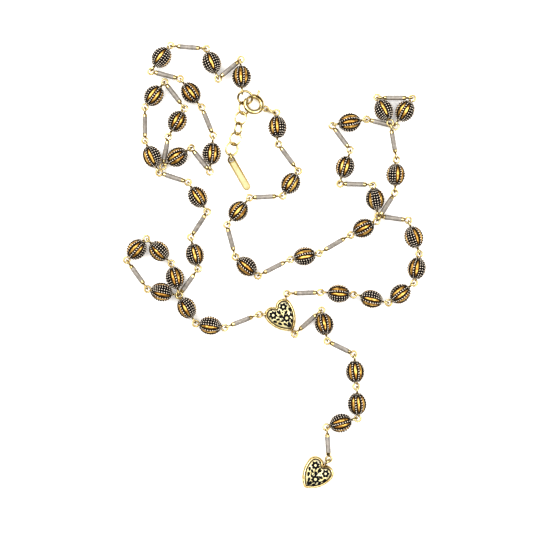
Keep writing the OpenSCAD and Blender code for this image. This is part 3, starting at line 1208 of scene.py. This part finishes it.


# soft edges and framed flats, which count as two parts, so that painted shade lies between them as a dark
# outline
def frameTag(piece):
    soften = piece.modifiers.new("soft_edges", "BEVEL")
    soften.width = tagSet["edge"]
    soften.segments = tagSet["edgeSteps"]
    soften.angle_limit = math.radians(tagSet["edgeAngle"])
    bpy.ops.object.modifier_apply(modifier=soften.name)
    startEdit("FACE")
    bpy.ops.mesh.select_all(action="DESELECT")
    endEdit()
    for face in flatFaces(piece):
        face.select = True
    bpy.ops.object.mode_set(mode="EDIT")
    bpy.ops.mesh.inset(thickness=tagSet["frame"])
    endEdit()
    flats = {index for face in flatFaces(piece) for index in face.vertices}
    parts = [int(vert.index in flats) for vert in piece.data.vertices]
    piece.data.attributes.new("row", "INT", "POINT").data.foreach_set("value", parts)


def placeThumb():
    profile = [(x * mm, radius * mm) for x, radius in thumbSet["profile"]]
    thumb = turned("polished_thumb_piece", profile, thumbSet["sides"])
    level = thumbSet["ringLevel"]
    ring = flatPlace(*(Vector(thumbSet["ringAt"]) * mm), level) @ turnBy(thumbSet["ringTilt"], "X")
    stand = flatPlace(0, 0, thumbSet["height"] * mm, thumbSet["knobPlace"])
    thumb.data.transform(ring @ turnBy(-level, "Z") @ stand)
    thumb.data.materials.append(gold)
    finishPiece(thumb, [], thumbSet["smoothing"], "trigger")


def placeClasp():
    for name, (slot, finish, body) in finishSet.items():
        piece = copySolid(name, finish)
        if name in platedSet["thick"]:
            thickenWire(piece)
        if name == "end_tag":
            frameTag(piece)
        finishPiece(piece, [name], platedSet["smoothing"], body)
    placeThumb()
    print("stage: clasp, extender and tag")


placeClasp()


# painted brown shade, stored as a point attribute on the gold pieces and the sleeves

paintedShadeSet = {
    "goldWords": ("_gold_", "polished_", "enamelled_"),
    "reach": 0.65 * mm,  # how far the painted shade spreads from a neighbouring part
    "flank": 0.6,
    "flankPower": 1.8,
    "sleeveFlank": 0.9,
}


# painted shade, stronger on each point the more steeply its surface stands, so that the flanks are darker
# than the flat tops
def flankShade(piece, strength):
    return [strength * (1 - abs(vert.normal.z)) ** paintedShadeSet["flankPower"] for vert in piece.data.vertices]


def setPaintedShade(piece, ages):
    piece.data.attributes.new("patina", "FLOAT", "POINT").data.foreach_set("value", ages)


# painted shade where the parts of one or more pieces come close to each other, and on their flanks
def paintShadeOnPieces(pieces):
    reach = paintedShadeSet["reach"]
    rows = []
    for piece in pieces:
        own = piece.data.attributes.get("row")
        for vert in piece.data.vertices:
            rows.append((vert.co.copy(), (piece.name, own.data[vert.index].value if own else 0)))
    tree = KDTree(len(rows))
    for index, row in enumerate(rows):
        tree.insert(row[0], index)
    tree.balance()
    shadeAmount = []
    for point, part in rows:
        near = [gap for _, index, gap in tree.find_range(point, reach) if rows[index][1] != part]
        shadeAmount.append(1 - min(near) / reach if near else 0.0)
    for piece in pieces:
        flanks = flankShade(piece, paintedShadeSet["flank"])
        setPaintedShade(piece, [max(pair) for pair in zip(shadeAmount, flanks)])
        shadeAmount = shadeAmount[len(flanks):]
    print("stage: patina,", len(rows), "points")


def placePaintedShade():
    words = paintedShadeSet["goldWords"]
    paintShadeOnPieces([piece for piece in bpy.context.scene.objects if any(word in piece.name for word in words)])
    # the sleeves get painted shade on their flanks only
    for strand in strands:
        tubes = bpy.data.objects[strand + "_ribbed_sleeves"]
        setPaintedShade(tubes, flankShade(tubes, paintedShadeSet["sleeveFlank"]))


placePaintedShade()


# the pale table, the soft lights, the sky and the camera straight above

lookSet = {
    "floorSize": 6,
    "floorLift": -0.24 * mm,
    "paperCloud": 3,
    "paper": [(0.3, (0.955, 0.955, 0.955)), (0.7, (0.98, 0.98, 0.975))],
    "paperRoughness": 0.9,
    "paperGlow": 0.25,
    "sky": [(0.58, (0.02, 0.02, 0.02)), (0.86, (1, 1, 1))],  # from the horizon up to straight overhead
    "skyPower": 1.8,
    "gamma": 0.7,
    "aim": (-2.7 * mm, -0.4 * mm, 0),
    "height": 0.5215,
    "lens": 100,
    "sensor": 36,
}

lights = {
    # name: place, size, power
    "window_left": ((-0.28, 0.24, 0.46), 0.5, 2.5),
    "window_right": ((0.34, -0.06, 0.44), 0.4, 1.4),
}


def makeFloor():
    clearSelection()
    bpy.ops.mesh.primitive_grid_add(x_subdivisions=8, y_subdivisions=8, size=lookSet["floorSize"])
    table = bpy.context.object
    table.name = "pale_table"
    table.location = (0, 0, lookSet["floorLift"])
    bench = newMaterial("white_paper")
    bench.set(
        colour=bench.ramp(bench.noise(lookSet["paperCloud"], 2), lookSet["paper"]),
        roughness=lookSet["paperRoughness"],
        glow=colour(1, 1, 1),
        glowPower=lookSet["paperGlow"],
    )
    table.data.materials.append(bench.owner)


def makeLights():
    for name, (spot, size, power) in lights.items():
        light = bpy.data.lights.new(name, "AREA")
        light.size = size
        light.energy = power
        lamp = bpy.data.objects.new(name, light)
        lamp.location = spot
        lamp.rotation_euler = (Vector(lookSet["aim"]) - lamp.location).to_track_quat("-Z", "Y").to_euler()
        linkPiece(lamp)


# a bright cap overhead over a dark horizon
def makeSky():
    sky = Bench(bpy.data.worlds.new("studio"), "Background")
    ray = sky.node("ShaderNodeTexCoord", output="Generated")
    height = sky.node("ShaderNodeSeparateXYZ", None, [ray], output="Z")
    sky.feed(sky.shader.inputs["Color"], sky.ramp(height, lookSet["sky"]))
    sky.feed(sky.shader.inputs["Strength"], lookSet["skyPower"])
    bpy.context.scene.world = sky.owner


def makeCamera():
    lens = bpy.data.cameras.new("above")
    lens.lens = lookSet["lens"]
    lens.sensor_width = lookSet["sensor"]
    camera = bpy.data.objects.new("above", lens)
    x, y = lookSet["aim"][:2]
    camera.location = (x, y, lookSet["height"])
    linkPiece(camera)
    bpy.context.scene.camera = camera


makeFloor()
makeLights()
makeSky()
makeCamera()
bpy.context.scene.view_settings.view_transform = "Standard"
bpy.context.scene.view_settings.gamma = lookSet["gamma"]
print("stage: table, lights and camera")
